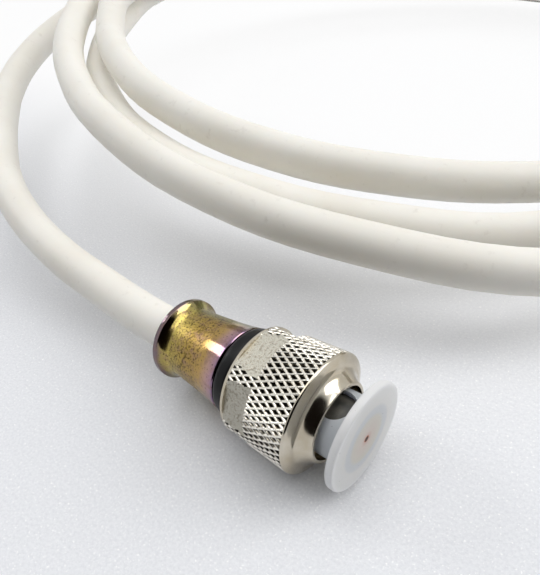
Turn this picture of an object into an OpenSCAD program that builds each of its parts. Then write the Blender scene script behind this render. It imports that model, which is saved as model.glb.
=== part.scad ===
// Cable shutter release: a plunger head with a knurled collar, a long sheathed cable
// and the pin at its camera end. Sizes are in millimetres.
// +X runs along the head, from the cable towards the press disc, and +Z is up. The head
// lies on the edge of its collar, and the origin is on the floor under its middle.
// Along the head, places are distances from the collar's front face, positive towards
// the press disc. Along the camera end, they are distances from its cable's last section.

/* [Collar] */
// Radius of the collar's front edge, which the head lies on
collar_front_r = 7; // [6.9:0.05:7.6]
// How much smaller than the front edge the collar's rear rim is, as a radius
collar_taper = 0.67; // [0.4:0.01:0.9]
// Length of the collar from its rear rim to its front face
collar_len = 8.65; // [8.3:0.05:10]
// Width of the plain rim behind the wrench flats
rear_rim_w = 0.4; // [0.3:0.05:0.8]
// Depth of the wrench flats below the front edge's radius, which makes them 12 mm across
flats_depth = 1; // [0.8:0.05:1.2]
// Length of the wrench flats
flats_len = 3.25; // [2:0.05:4]
// Diamonds of the knurl around the collar
knurl_count = 57; // [36:1:60]
// Depth of the knurl
knurl_depth = 0.38; // [0.2:0.02:0.5]
// Width of the smooth band in front of the knurl
front_band_w = 0.15; // [0.1:0.05:0.5]
// Length of the coned face on the collar's front
cone_len = 0.55; // [0.4:0.05:0.8]
// How far the coned face comes in from the front edge, as a radius
cone_drop = 1.05; // [0.8:0.05:1.3]
// How far the nose and its lip stand in front of the collar's front face
lip_len = 2.06; // [1.6:0.02:2.4]
// Space between the plunger's stem and the lip's bore, as a radius
lip_room = 0.55; // [0.4:0.01:0.7]
// Thickness of the lip
lip_wall = 0.3; // [0.2:0.02:0.4]
// Wall between the wrench flats and the collar's bore
collar_wall = 0.71; // [0.6:0.01:0.8]
// Thickness of the collar's shoulder behind its front face
shoulder_t = 0.3; // [0.2:0.05:0.6]

/* [Barrel] */
// Wall of the barrel around the spring's chamber
barrel_wall = 0.84; // [0.8:0.01:1]
// Length of the spring's chamber behind the guide bush
chamber_len = 6.3; // [6:0.05:7]
// Thickness of the wall behind the spring's chamber
chamber_wall = 0.6; // [0.4:0.05:1]
// How much smaller than the barrel the spigot that carries the ferrule is, as a radius
spigot_step = 1.39; // [1.2:0.01:1.5]
// Length of the spigot inside the ferrule
spigot_len = 4.5; // [4:0.1:6]
// Length of the guide bush
guide_len = 1.25; // [0.8:0.05:2]
// How much wider the guide bush is than the spring's chamber, as a radius
guide_step = 0.33; // [0.2:0.01:0.4]
// Depth of the retaining ring's groove in the barrel
ring_groove_depth = 0.39; // [0.2:0.01:0.45]
// Width of the retaining ring
ring_w = 0.56; // [0.4:0.02:0.8]
// How far the retaining ring stands out of the barrel, as a radius
ring_proud = 0.26; // [0.15:0.01:0.35]
// Place of the retaining ring's front behind the collar's front face
ring_place = 3.62; // [3:0.02:4.5]
// Width of the gap in the retaining ring
ring_split = 1.6; // [1:0.1:3]

/* [Ferrule and seal] */
// Width of the sealing ring
seal_w = 2.15; // [1.6:0.05:2.2]
// Width of the slot that the sealing ring sits in
seal_slot = 2.4; // [2.3:0.05:3]
// How far the sealing ring stands out of the barrel, as a radius
seal_proud = 0.16; // [0:0.02:0.3]
// Corner radius of the sealing ring
seal_round = 0.7; // [0.3:0.05:0.8]
// Length of the ferrule
ferrule_len = 9.72; // [8.5:0.02:12]
// How much smaller than the barrel the ferrule's front end is, as a radius
ferrule_step = 0.04; // [0:0.01:0.2]
// How much smaller than its front end the ferrule's neck is, as a radius
neck_step = 0.95; // [0.8:0.05:1]
// How much smaller than its front end the ferrule's rear flange is, as a radius
flange_step = 0.1; // [0:0.05:0.3]
// Length of the belly that narrows behind the ferrule's front end
ferrule_belly = 3; // [2:0.1:4]
// Thickness of the ferrule's rear flange
ferrule_flange_t = 0.62; // [0.4:0.02:1]
// Length of the hollow that blends the neck into the flange
ferrule_blend = 1.5; // [1:0.05:2]

/* [Plunger] */
// Travel of the plunger
travel = 2.2; // [1.5:0.05:2.6]
// How much smaller than the collar's front edge the press disc is, as a radius
disc_inset = 0.97; // [0.7:0.01:1.3]
// Thickness of the press disc
disc_t = 0.88; // [0.6:0.02:1.4]
// Space between the plunger's stem and the chamber's wall, as a radius
stem_room = 0.7; // [0.5:0.05:0.9]
// Wall of the plunger's stem
stem_wall = 0.6; // [0.4:0.05:0.8]
// Radius of the round window in the stem
window_r = 1.9; // [1:0.05:2]
// Place of the window's middle in front of the collar's front face
window_place = 1.95; // [1.5:0.05:2.2]
// Thickness of the stop flange
stop_t = 0.8; // [0.5:0.05:1.2]
// Radius of the inner wire
wire_r = 0.4; // [0.3:0.05:0.5]
// Outer radius of the crimp on the inner wire
crimp_r = 1.2; // [0.9:0.05:1.6]
// Length of the crimp
crimp_len = 1; // [0.6:0.05:1.4]

/* [Return spring] */
// Space between the middle of the spring's wire and the chamber's wall, as a radius
spring_room = 1.2; // [0.8:0.05:1.3]
// Radius of the return spring's wire
spring_wire_r = 0.22; // [0.15:0.01:0.25]
// Coils of the return spring
spring_turns = 4.5; // [3:0.5:4.5]
// Thickness of the wire guide that the spring stands on
guide_disc_t = 0.8; // [0.5:0.05:1.2]
// Length of the boss that centres the spring
guide_boss_len = 0.9; // [0.5:0.05:1.2]

/* [Cable] */
// Outer radius of the cable
cable_r = 2.8; // [2.6:0.05:2.85]
// Radius of the bore through the cable's sheath, at its two ends
sheath_bore_r = 1.52; // [1.4:0.02:1.7]
// Length of the post inside the barrel
post_in_barrel = 3.5; // [2:0.1:4]
// Bore radius of the post that the sheath is pushed over
post_bore_r = 0.7; // [0.6:0.02:0.9]
// Outer radius of the post's flange
post_flange_r = 2.6; // [2:0.05:2.8]
// Thickness of the post's flange
post_flange_t = 0.46; // [0.3:0.02:0.8]

/* [Camera end] */
// Length of the camera end's ferrule
tip_ferrule_len = 9; // [8:0.1:11]
// Outer radius of the flange on the camera end's ferrule
tip_flange_r = 4.3; // [4:0.05:4.6]
// Radius of the grip that turns the taper thread home
grip_r = 4.7; // [4.5:0.05:5.5]
// Length of the grip
grip_len = 6.2; // [6:0.1:9]
// Radius of the taper nipple at its root
nipple_root_r = 1.75; // [1.6:0.05:2]
// Radius of the taper nipple at its end
nipple_end_r = 1.45; // [1.3:0.05:1.6]
// Length of the taper nipple
nipple_len = 5.5; // [4:0.1:8]
// Radius of the pin that trips the shutter
pin_r = 0.8; // [0.75:0.01:0.85]
// Radius of the pin's turned-down end
pin_end_r = 0.6; // [0.5:0.01:0.62]
// How far the pin stands out at rest
pin_out = 1; // [0.5:0.1:2]
// Radius of the stop collar on the pin
pin_stop_r = 1.7; // [1.2:0.05:2]
// Thickness of the stop collar on the pin
pin_stop_t = 0.8; // [0.5:0.05:1.2]

/* [Hidden] */
$fn = 96;

// Clearances: a running fit and a seat as radii, play along the axis, and face to face
run_gap = 0.05;
seat_gap = 0.02;
end_gap = 0.1;
face_gap = 0.02;
cut = 1; // how far a cutter runs past the face that it opens

// Radii that follow the collar's front edge inwards
across_flats = 2 * (collar_front_r - flats_depth);
collar_rear_r = collar_front_r - collar_taper;
collar_bore_r = across_flats / 2 - collar_wall;
barrel_r = collar_bore_r - run_gap;
chamber_r = barrel_r - barrel_wall;
spigot_r = barrel_r - spigot_step;
stop_r = chamber_r - 2 * run_gap;
stem_r = chamber_r - stem_room;
spring_r = chamber_r - spring_room;
cone_end_r = collar_front_r - cone_drop;
lip_r = stem_r + lip_room + lip_wall;
disc_r = collar_front_r - disc_inset;
seal_r = barrel_r + seal_proud;
ferrule_front_r = barrel_r - ferrule_step;
ferrule_neck_r = ferrule_front_r - neck_step;
ferrule_flange_r = ferrule_front_r - flange_step;

// Places along the head
barrel_front = -shoulder_t - 1.5 * end_gap;
guide_rear = barrel_front - guide_len;
stop_front = guide_rear - end_gap;
stop_rear = stop_front - stop_t;
chamber_rear = guide_rear - chamber_len;
guide_disc_front = chamber_rear + guide_disc_t;
barrel_rear = chamber_rear - chamber_wall;
ferrule_front = barrel_rear - seal_slot;
spigot_rear = ferrule_front - spigot_len;
post_flange_rear = spigot_rear - face_gap - post_flange_t;
sheath_front = post_flange_rear - face_gap;
head_rear = ferrule_front - ferrule_len;
disc_back = lip_len + travel + 1.4 * end_gap;
disc_front = disc_back + disc_t;
core_front = disc_back - 0.5;
head_half = (disc_front - head_rear) / 2;
collar_face_x = head_half - disc_front;
axis_h = collar_front_r;

// Collar
collar_rear = -collar_len;
flats_rear = collar_rear + rear_rim_w;
flats_front = flats_rear + flats_len;
knurl_front = -front_band_w;
flats_turn = 35;
knurl_rear_r = collar_rear_r + 0.2;
knurl_seat_r = across_flats / 2 + 0.1;
ring_outer_r = barrel_r + ring_proud;
ring_room = 0.12;
nose_blend_r = lip_len - cone_len + end_gap;

// Knurl: rows half a diamond high, on a cone that widens to the front edge
knurl_rows = round((knurl_front - flats_front) / (PI * collar_front_r / knurl_count));
knurl_row_len = (knurl_front - face_gap - flats_front - face_gap) / knurl_rows;

// Camera end, which lies on the floor inside the coil and points along -Y
tip_x = 15.6;
tip_rear_y = 100;
tip_h = grip_r + end_gap;
tip_bore_len = tip_ferrule_len / 2;
grip_front = tip_ferrule_len + grip_len;
nipple_flange_r = 2.6;
nipple_flange_t = 1;
pin_room_front = grip_front - nipple_flange_t;
pin_room_rear = pin_room_front - travel - pin_stop_t - 2 * end_gap;
wire_socket_len = 1.3;
pin_rear = pin_room_rear - wire_socket_len - end_gap;
nipple_front = grip_front + nipple_len;

// Centre line of the cable, as points chosen by hand: straight out of the ferrule, up on the
// left, and three turns that lie loosely beside each other in front, are bundled on the far
// side and spring up off the floor on the left. The lead's points have true heights. The
// coil's and the tail's are heights above a cable that lies on the floor.
lead_points = [
    [-19, 0, axis_h], [-31, 0.8, axis_h + 0.1], [-42, 1.6, 8], [-53, 3.6, 9.8], [-64, 7.5, 11.5],
    [-75, 13.8, 12.7], [-86, 21.5, 13.7], [-96, 30, 14.6], [-104, 40, 15.7],
    [-109.5, 52, 17], [-112.5, 66, 18.2]
];
lead_end_place = [-112.8, 80, 16];
coil_points = [
    [-109.3, 95.5, 14.6], [-101.4, 111, 11.6], [-89.1, 124.7, 8.2], [-73.4, 135.5, 5.2], [-55.5, 142.6, 3.2],
    [-36.9, 145.8, 2.2], [-19.1, 145.6, 1.4], [-3.2, 141.7, 0.6], [10.2, 134.3, 0.1], [20.7, 123.9, 0],
    [28.1, 111.1, 0], [32.4, 96.5, 0], [33.7, 80.6, 0], [33.5, 63.6, 0.2], [29.8, 46, 2.4],
    [19.1, 29.8, 6.2], [-0.5, 20.8, 9.2], [-22, 17.1, 12.2], [-43.9, 19.3, 15.3], [-64.5, 27.3, 17.8],
    [-82.3, 40.7, 20], [-95.8, 58.4, 21.5], [-103.2, 77.9, 21.8], [-103.3, 97.5, 20], [-97.1, 114.7, 17.2],
    [-86.4, 128.2, 14.4], [-73, 137.7, 12], [-58.2, 143.4, 10.2], [-43, 145.8, 9.2], [-28.2, 145.6, 8.4],
    [-14, 143.1, 7.5], [-0.9, 138, 6.8], [10.6, 130.6, 6.4], [20.3, 121, 6.2], [27.7, 109.5, 6.5],
    [32.3, 96.3, 6.6], [33.8, 81.9, 6.6], [31.5, 66.9, 6.2], [25.2, 52, 5.4], [14.2, 38.4, 4.8],
    [-2.6, 28.6, 6.8], [-22, 23.6, 9], [-42.5, 24.4, 10.8], [-62.3, 31.2, 12.8], [-79.4, 43.6, 14.3],
    [-92.5, 60.3, 15.4], [-100.6, 79.9, 16.2], [-98.7, 99.2, 14.6], [-90.3, 115, 12.6], [-78.3, 126.5, 10.6],
    [-64.6, 134.2, 8.8], [-50.5, 138.5, 7.2], [-36.8, 140.2, 5.6], [-23.8, 139.9, 4.1], [-11.9, 137.8, 2.4],
    [-1.2, 133.6, 1.2], [8, 127.6, 0.4], [15.5, 119.8, 0], [21.2, 110.3, 0], [25, 99.4, 0],
    [26.4, 87, 0.6], [24.7, 73.6, 1.7], [19.1, 59.9, 3.6], [9.2, 46.9, 6.2], [-4.7, 36.4, 9.2],
    [-22, 30.1, 12.2], [-41.2, 29.5, 15.3], [-60.1, 35.1, 17.8], [-76.6, 46.4, 20], [-89.2, 62.2, 21.5]
];
coil_end_place = [-91.2, 83.2, 19.6];
tail_points = [
    [-83.6, 103.3, 16.2], [-69.1, 119.3, 12.4], [-50.7, 129.6, 9.2], [-31.3, 133.7, 6.8], [-13.3, 131.8, 4.9],
    [1, 125.4, 3.6], [10.3, 116.5, 2.6], [14.7, 107.5, 2.1]
];
turn_points = 24; // points in one turn of the coil

function unit(v) = v / norm(v);

// The same point, on a cable that rests a little above the floor
function lifted(point) = point + [0, 0, cable_r + 0.05];

// The three stretches meet square, on short straight runs
coil_line = [for (point = coil_points) lifted(point)];
tail_line = [for (point = tail_points) lifted(point)];
lead_end = lifted(lead_end_place);
coil_end = lifted(coil_end_place);
tip_start = [tip_x, tip_rear_y, tip_h];
straight = cable_r;
lead_dir = unit(coil_line[0] - lead_points[len(lead_points) - 1]);
coil_dir = unit(tail_line[0] - coil_line[len(coil_line) - 1]);
lead_path = concat(
    [[-head_half, 0, axis_h]], lead_points, [lead_end - straight * lead_dir, lead_end]
);
coil_path = concat(
    [lead_end, lead_end + straight * lead_dir], coil_line, [coil_end - straight * coil_dir, coil_end]
);
tail_path = concat(
    [coil_end, coil_end + straight * coil_dir], tail_line, [tip_start + [0, straight, 0], tip_start]
);

// Least gap between the coil's turns, measured between points over half a turn apart
coil_gap = min([
    for (i = [0:len(coil_line) - 1], j = [0:1:i - turn_points / 2]) norm(coil_line[i] - coil_line[j])
]) - 2 * cable_r;
echo(coil_least_gap = coil_gap);

// Length of a path through its points
function path_len(path) = len(path) < 2 ? 0 :
    [for (i = 1, sum = norm(path[1] - path[0]); i < len(path);
        i = i + 1, sum = sum + (i < len(path) ? norm(path[i] - path[i - 1]) : 0)) sum][len(path) - 2];
echo(cable_length = path_len(lead_path) + path_len(coil_path) + path_len(tail_path));

// Direction of a path at one of its points
function path_dir(path, i) =
    i == 0 ? unit(path[1] - path[0]) :
    i == len(path) - 1 ? unit(path[i] - path[i - 1]) :
    unit(unit(path[i] - path[i - 1]) + unit(path[i + 1] - path[i]));

// One ring of a tube, square to its path, with a corner straight above the centre line
function tube_ring(path, i, r, sides) =
    let (
        dir = path_dir(path, i),
        side = unit(cross(dir, [0, 0, 1])),
        up = cross(side, dir)
    )
    [for (k = [0:sides - 1]) let (a = 90 + 360 * k / sides) path[i] + r * (cos(a) * side + sin(a) * up)];

// A tube swept along a path, closed by a flat face at each end
module tube(path, r, sides) {
    rings = len(path);
    points = [for (i = [0:rings - 1]) each tube_ring(path, i, r, sides)];
    walls = [
        for (i = [0:rings - 2], k = [0:sides - 1])
            let (
                a = i * sides + k,
                b = i * sides + (k + 1) % sides
            )
            each [[a, b, b + sides], [a, b + sides, a + sides]]
    ];
    start = [for (k = [1:sides - 2]) [0, k + 1, k]];
    last = (rings - 1) * sides;
    end = [for (k = [1:sides - 2]) [last, last + k, last + k + 1]];
    polyhedron(points, concat(walls, start, end));
}

// A helix along +Z, as points
function helix(r, rise, turns, steps) =
    [for (i = [0:turns * steps]) let (a = 360 * i / steps) [r * cos(a), r * sin(a), rise * i / (turns * steps)]];

// An arc as points, for profiles of radius and place
function arc(centre, r, from, to, steps = 10) =
    [for (i = [0:steps]) let (a = from + (to - from) * i / steps) centre + r * [cos(a), sin(a)]];

// Children drawn along +Z are laid along the head
module on_head() {
    translate([collar_face_x, 0, axis_h]) rotate([0, 90, 0]) children();
}

// Children drawn along +Z are laid along the camera end
module on_tip() {
    translate([tip_x, tip_rear_y, tip_h]) rotate([90, 0, 0]) children();
}

module turned(profile) {
    rotate_extrude() polygon(profile);
}

// A solid ring between two places
module ring(from, to, outer, inner) {
    turned([[inner, from], [outer, from], [outer, to], [inner, to]]);
}

module bore(from, to, r) {
    translate([0, 0, from]) cylinder(h = to - from, r = r);
}

// ---- Collar ----

module collar_flats() {
    intersection() {
        ring(flats_rear, flats_front, knurl_rear_r, 0);
        translate([0, 0, flats_rear]) rotate([0, 0, flats_turn])
            cylinder(h = flats_len, r = across_flats / 2 / cos(30), $fn = 6);
    }
}

module collar_front() {
    blend_centre = [lip_r + end_gap / 2 + nose_blend_r, cone_len + nose_blend_r];
    turned(concat(
        [[0, knurl_front], [collar_front_r, knurl_front], [collar_front_r, 0],
            [collar_front_r - 0.1, front_band_w]],
        arc(blend_centre, nose_blend_r, 180 + acos((blend_centre[0] - cone_end_r) / nose_blend_r), 187),
        [[lip_r, lip_len], [0, lip_len]]
    ));
}

module knurled_collar() {
    color("#b9b3a6") on_head() difference() {
        union() {
            ring(collar_rear, flats_rear, collar_rear_r, 0);
            collar_flats();
            ring(flats_front, knurl_front, knurl_seat_r, 0);
            collar_front();
            // The core ties these stretches into one piece
            ring(collar_rear, knurl_front, across_flats / 2 - 0.1, 0);
        }
        bore(collar_rear - cut, -shoulder_t, collar_bore_r);
        bore(-shoulder_t - cut, lip_len + cut, lip_r - lip_wall);
        bore(-ring_place - ring_w - ring_room, -ring_place + ring_room, ring_outer_r + ring_room);
    }
}

// Radius of the knurl's ridges at a place along the collar
function knurl_cone_r(place) =
    knurl_rear_r + (collar_front_r - knurl_rear_r) * (place - flats_rear) / (knurl_front - flats_rear);

// Crossings and hollows of the knurl alternate around each row, and each quarter between
// them is folded along the line that joins two crossings, which leaves ridges that run
// both ways around the collar with four-sided hollows between them
module collar_knurl() {
    columns = 2 * knurl_count;
    seat = knurl_seat_r + 0.01;
    rows = knurl_rows;
    outer = [
        for (j = [0:rows], i = [0:columns - 1])
            let (
                place = flats_front + face_gap + j * knurl_row_len,
                r = knurl_cone_r(place) - ((i + j) % 2 == 0 ? 0.02 : knurl_depth),
                a = 360 * i / columns
            )
            [r * cos(a), r * sin(a), place]
    ];
    inner = [
        for (j = [0, rows], i = [0:columns - 1])
            let (a = 360 * i / columns)
            [seat * cos(a), seat * sin(a), flats_front + face_gap + j * knurl_row_len]
    ];
    first_inner = len(outer);
    top = rows * columns;
    walls = [
        for (j = [0:rows - 1], i = [0:columns - 1])
            let (
                a = j * columns + i,
                b = j * columns + (i + 1) % columns,
                c = b + columns,
                d = a + columns
            )
            each ((i + j) % 2 == 0 ? [[a, c, b], [a, d, c]] : [[a, d, b], [b, d, c]])
    ];
    bore_wall = [
        for (i = [0:columns - 1])
            let (
                a = first_inner + i,
                b = first_inner + (i + 1) % columns
            )
            each [[a, b, b + columns], [a, b + columns, a + columns]]
    ];
    ends = [
        for (i = [0:columns - 1])
            let (
                n = (i + 1) % columns,
                a = first_inner + i,
                b = first_inner + n
            )
            each [
                [i, n, b], [i, b, a],
                [top + i, b + columns, top + n], [top + i, a + columns, b + columns]
            ]
    ];
    color("#a8a295") on_head() polyhedron(concat(outer, inner), concat(walls, bore_wall, ends));
}

// ---- Barrel and what is fixed in it ----

module barrel() {
    groove_r = barrel_r - ring_groove_depth;
    color("#9a9a96") on_head() difference() {
        union() {
            ring(barrel_rear, barrel_front, barrel_r, 0);
            ring(spigot_rear, barrel_rear, spigot_r, 0);
        }
        bore(guide_rear, barrel_front + cut, chamber_r + guide_step + seat_gap);
        bore(chamber_rear, guide_rear + cut, chamber_r);
        bore(spigot_rear - cut, chamber_rear + cut, sheath_bore_r);
        ring(-ring_place - ring_w - face_gap, -ring_place + face_gap, barrel_r + cut, groove_r);
    }
}

module guide_bush() {
    color("#b08d3e") on_head()
        ring(guide_rear + face_gap, barrel_front, chamber_r + guide_step, stem_r + run_gap);
}

module retaining_ring() {
    inner = barrel_r - ring_groove_depth + seat_gap;
    color("#7d7f82") on_head() difference() {
        ring(-ring_place - ring_w, -ring_place, ring_outer_r, inner);
        translate([inner - cut, -ring_split / 2, -ring_place - ring_w - cut])
            cube([2 * cut + ring_proud + ring_groove_depth, ring_split, ring_w + 2 * cut]);
    }
}

module sealing_ring() {
    rear = ferrule_front + face_gap;
    front = rear + seal_w;
    inner = spigot_r + seat_gap;
    far = seal_r - seal_round;
    color("#1b1b1c") on_head() turned(concat(
        [[inner, front], [inner, rear]],
        arc([far, rear + seal_round], seal_round, -90, 0),
        arc([far, front - seal_round], seal_round, 0, 90)
    ));
}

module ferrule() {
    flange_front = head_rear + ferrule_flange_t;
    neck_rear = flange_front + ferrule_blend;
    edge = 0.12;
    // Hollow between the neck and the flange, an arc that leaves the neck along the axis
    hollow = ferrule_flange_r - ferrule_neck_r;
    hollow_r = (pow(hollow, 2) + pow(ferrule_blend, 2)) / (2 * hollow);
    hollow_turn = asin(ferrule_blend / hollow_r);
    color("#b3914f") on_head() difference() {
        turned(concat(
            [[0, head_rear], [ferrule_flange_r - edge, head_rear], [ferrule_flange_r, head_rear + edge]],
            [for (i = [0:10])
                let (a = hollow_turn * (1 - i / 10))
                [ferrule_neck_r + hollow_r * (1 - cos(a)), neck_rear - hollow_r * sin(a)]],
            [[ferrule_neck_r + 0.1, neck_rear + 0.6], [ferrule_front_r - 0.45, ferrule_front - ferrule_belly],
                [ferrule_front_r, ferrule_front - edge], [ferrule_front_r - edge, ferrule_front],
                [0, ferrule_front]]
        ));
        bore(head_rear - cut, ferrule_front, cable_r + run_gap);
        bore(sheath_front, ferrule_front + cut, spigot_r + seat_gap);
    }
}

module wire_guide() {
    color("#b08d3e") on_head() difference() {
        union() {
            ring(chamber_rear + face_gap, guide_disc_front, chamber_r - seat_gap, 0);
            ring(guide_disc_front - cut / 4, guide_disc_front + guide_boss_len,
                spring_r - spring_wire_r - 2 * end_gap, 0);
        }
        bore(chamber_rear - cut, guide_disc_front + guide_boss_len + cut, wire_r + run_gap);
    }
}

module sheath_post() {
    post_front = spigot_rear + post_in_barrel;
    post_rear = head_rear + 0.3;
    color("#a9a9a4") on_head() difference() {
        union() {
            ring(post_rear, post_front, sheath_bore_r - seat_gap, 0);
            ring(post_flange_rear, spigot_rear - face_gap, post_flange_r, 0);
        }
        bore(post_rear - cut, post_front + cut, post_bore_r);
    }
}

module sheath_end() {
    color("#e9e5da") on_head() ring(head_rear, sheath_front, cable_r, sheath_bore_r);
}

module return_spring() {
    from = guide_disc_front + spring_wire_r + face_gap;
    to = stop_rear - spring_wire_r - face_gap;
    color("#8c8e90") on_head() translate([0, 0, from])
        tube(helix(spring_r, to - from, spring_turns, 12), spring_wire_r, 6);
}

// ---- Plunger ----

module button_cap() {
    edge = 0.15;
    color("#e6e2da", 0.75) on_head() difference() {
        turned([
            [0, disc_front], [disc_r - edge, disc_front], [disc_r, disc_front - edge],
            [disc_r, disc_back + edge], [disc_r - edge, disc_back], [stem_r, disc_back],
            [stem_r, stop_front + face_gap], [0, stop_front + face_gap]
        ]);
        bore(stop_front - cut, disc_back, stem_r - stem_wall);
        bore(disc_back - cut, disc_front + cut, wire_r + seat_gap);
        translate([0, 0, window_place]) rotate([0, -90, 0]) cylinder(h = stem_r + cut, r = window_r);
    }
}

module plunger_core() {
    color("#3b3632") on_head() difference() {
        union() {
            ring(stop_rear, stop_front, stop_r, 0);
            ring(stop_front - cut / 4, core_front, stem_r - stem_wall - seat_gap, 0);
        }
        bore(stop_rear - cut, core_front + cut, wire_r + seat_gap);
    }
}

module wire_crimp() {
    color("#a86f42") on_head()
        ring(stop_rear - face_gap - crimp_len, stop_rear - face_gap, crimp_r, wire_r + seat_gap);
}

module inner_wire() {
    color("#b06a3c") on_head()
        bore(head_rear + travel + 1, disc_front, wire_r);
}

// ---- Cable ----

module cable_lead() {
    color("#ece9df") tube(lead_path, cable_r, 10);
}

module cable_coil() {
    color("#ece9df") tube(coil_path, cable_r, 6);
}

module cable_tail() {
    color("#ece9df") tube(tail_path, cable_r, 10);
}

// ---- Camera end ----

module tip_ferrule() {
    edge = 0.12;
    flange_t = 0.6;
    neck_r = tip_flange_r - 0.5;
    color("#b3914f") on_tip() difference() {
        turned([
            [0, 0], [tip_flange_r - edge, 0], [tip_flange_r, edge], [tip_flange_r, flange_t],
            [neck_r, 2 * flange_t + edge], [neck_r, tip_bore_len], [tip_flange_r, tip_ferrule_len - 1],
            [tip_flange_r, tip_ferrule_len - edge], [tip_flange_r - edge, tip_ferrule_len],
            [0, tip_ferrule_len]
        ]);
        bore(-cut, tip_ferrule_len, cable_r + run_gap);
        bore(tip_bore_len, tip_ferrule_len + cut, tip_flange_r - 0.9 + seat_gap);
    }
}

module tip_sheath_end() {
    color("#e9e5da") on_tip() ring(0, tip_bore_len, cable_r, sheath_bore_r);
}

module tip_body() {
    edge = 0.3;
    grooves = 3;
    groove_step = (grip_len - 2 * edge) / (grooves + 1);
    color("#b9b3a6") on_tip() difference() {
        union() {
            ring(tip_bore_len + face_gap, tip_ferrule_len + edge, tip_flange_r - 0.9, 0);
            turned([
                [0, tip_ferrule_len + face_gap], [grip_r - edge, tip_ferrule_len + face_gap],
                [grip_r, tip_ferrule_len + edge], [grip_r, grip_front - edge],
                [grip_r - edge, grip_front], [0, grip_front]
            ]);
        }
        for (i = [1:grooves])
            translate([0, 0, tip_ferrule_len + edge + i * groove_step])
                ring(-0.25, 0.25, grip_r + cut, grip_r - edge);
        bore(tip_bore_len - cut, grip_front, pin_r + run_gap);
        bore(pin_room_rear, pin_room_front + cut / 4, pin_stop_r + 2 * end_gap);
        bore(pin_room_front, grip_front + cut, nipple_flange_r + seat_gap);
    }
}

module tip_nipple() {
    color("#c9c5ba") on_tip() difference() {
        turned([
            [0, pin_room_front + face_gap], [nipple_flange_r, pin_room_front + face_gap],
            [nipple_flange_r, grip_front], [nipple_root_r, grip_front],
            [nipple_end_r, nipple_front], [0, nipple_front]
        ]);
        bore(pin_room_front - cut, nipple_front + cut, pin_r + run_gap);
    }
}

module tip_pin() {
    color("#b7b8b8") on_tip() difference() {
        union() {
            bore(pin_rear, nipple_front, pin_r);
            bore(nipple_front - cut / 4, nipple_front + pin_out, pin_end_r);
        }
        bore(pin_rear - cut, pin_rear + wire_socket_len, wire_r + seat_gap);
    }
}

module pin_stop() {
    color("#8f9092") on_tip()
        ring(pin_room_rear + end_gap, pin_room_rear + end_gap + pin_stop_t, pin_stop_r, pin_r + seat_gap);
}

module tip_wire() {
    color("#b06a3c") on_tip() bore(tip_bore_len / 2, pin_rear + wire_socket_len - end_gap, wire_r);
}

knurled_collar();
collar_knurl();
barrel();
guide_bush();
retaining_ring();
sealing_ring();
ferrule();
wire_guide();
sheath_post();
sheath_end();
return_spring();
button_cap();
plunger_core();
wire_crimp();
inner_wire();
cable_lead();
cable_coil();
cable_tail();
tip_ferrule();
tip_sheath_end();
tip_body();
tip_nipple();
tip_pin();
pin_stop();
tip_wire();
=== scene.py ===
"""Cable shutter release: its visible pieces and finishes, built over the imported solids.

Lengths are in metres, apart from profiles and the cable's route, which are in millimetres. The
head lies along X with its axis 7 mm above the floor, and its places are measured from the
collar's front face, positive towards the press disc. The camera end's are measured from the
face where its cable enters, towards the pin.
"""

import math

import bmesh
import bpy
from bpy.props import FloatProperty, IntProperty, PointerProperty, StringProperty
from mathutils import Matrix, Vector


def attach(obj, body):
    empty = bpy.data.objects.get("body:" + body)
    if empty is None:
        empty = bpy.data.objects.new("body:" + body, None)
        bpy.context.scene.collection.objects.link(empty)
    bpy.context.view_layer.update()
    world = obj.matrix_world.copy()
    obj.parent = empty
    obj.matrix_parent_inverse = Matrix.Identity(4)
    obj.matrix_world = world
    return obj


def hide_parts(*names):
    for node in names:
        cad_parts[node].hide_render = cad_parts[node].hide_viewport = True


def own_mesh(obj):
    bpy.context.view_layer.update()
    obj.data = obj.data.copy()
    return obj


bl_info = {
    "name": "Cable Shutter Release",
    "version": (1, 0, 0),
    "blender": (4, 5, 0),
    "location": "View3D > Sidebar > Release",
    "description": "Builds the pieces and finishes of a cable shutter release over its packed solids",
    "category": "Add Mesh",
}

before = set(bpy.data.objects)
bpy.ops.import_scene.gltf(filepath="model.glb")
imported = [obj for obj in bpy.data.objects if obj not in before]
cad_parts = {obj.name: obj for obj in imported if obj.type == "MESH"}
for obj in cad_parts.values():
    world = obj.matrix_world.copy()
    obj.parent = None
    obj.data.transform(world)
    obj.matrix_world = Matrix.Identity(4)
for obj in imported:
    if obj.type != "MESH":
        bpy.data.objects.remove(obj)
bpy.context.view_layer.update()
MM = 0.001

# Where each turned group starts, the way its axis points, and a side of it
HEAD_ORIGIN = Vector((0.00772, 0.0, 0.007))
HEAD = (HEAD_ORIGIN, Vector((1, 0, 0)), Vector((0, 0, 1)))
TIP_ORIGIN = Vector((0.0156, 0.1, 0.0048))
TIP = (TIP_ORIGIN, Vector((0, -1, 0)), Vector((0, 0, 1)))

# Places and radii that more than one piece or finish uses, in millimetres
FERRULE_REAR = -20.72
FERRULE_FRONT = -11.0
FERRULE_HOLE = 2.87
TIP_FERRULE_END = 9.0
PIN_HOLE = 0.85
DISC_BACK = 4.4
DISC_R = 6.03

CABLE_EXIT = HEAD_ORIGIN + Vector((FERRULE_REAR * MM, 0, 0))


# ---- Sizes and colours that a user would change ----


def length(name, description, default):
    return FloatProperty(name=name, description=description, default=default, unit="LENGTH", precision=5)


def colour(name, description, default):
    return StringProperty(name=name, description=description, default=default)


class ReleaseCableSizes(bpy.types.PropertyGroup):
    radius: length("Cable radius", "Outer radius of the cable's sheath", 0.0028)


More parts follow.
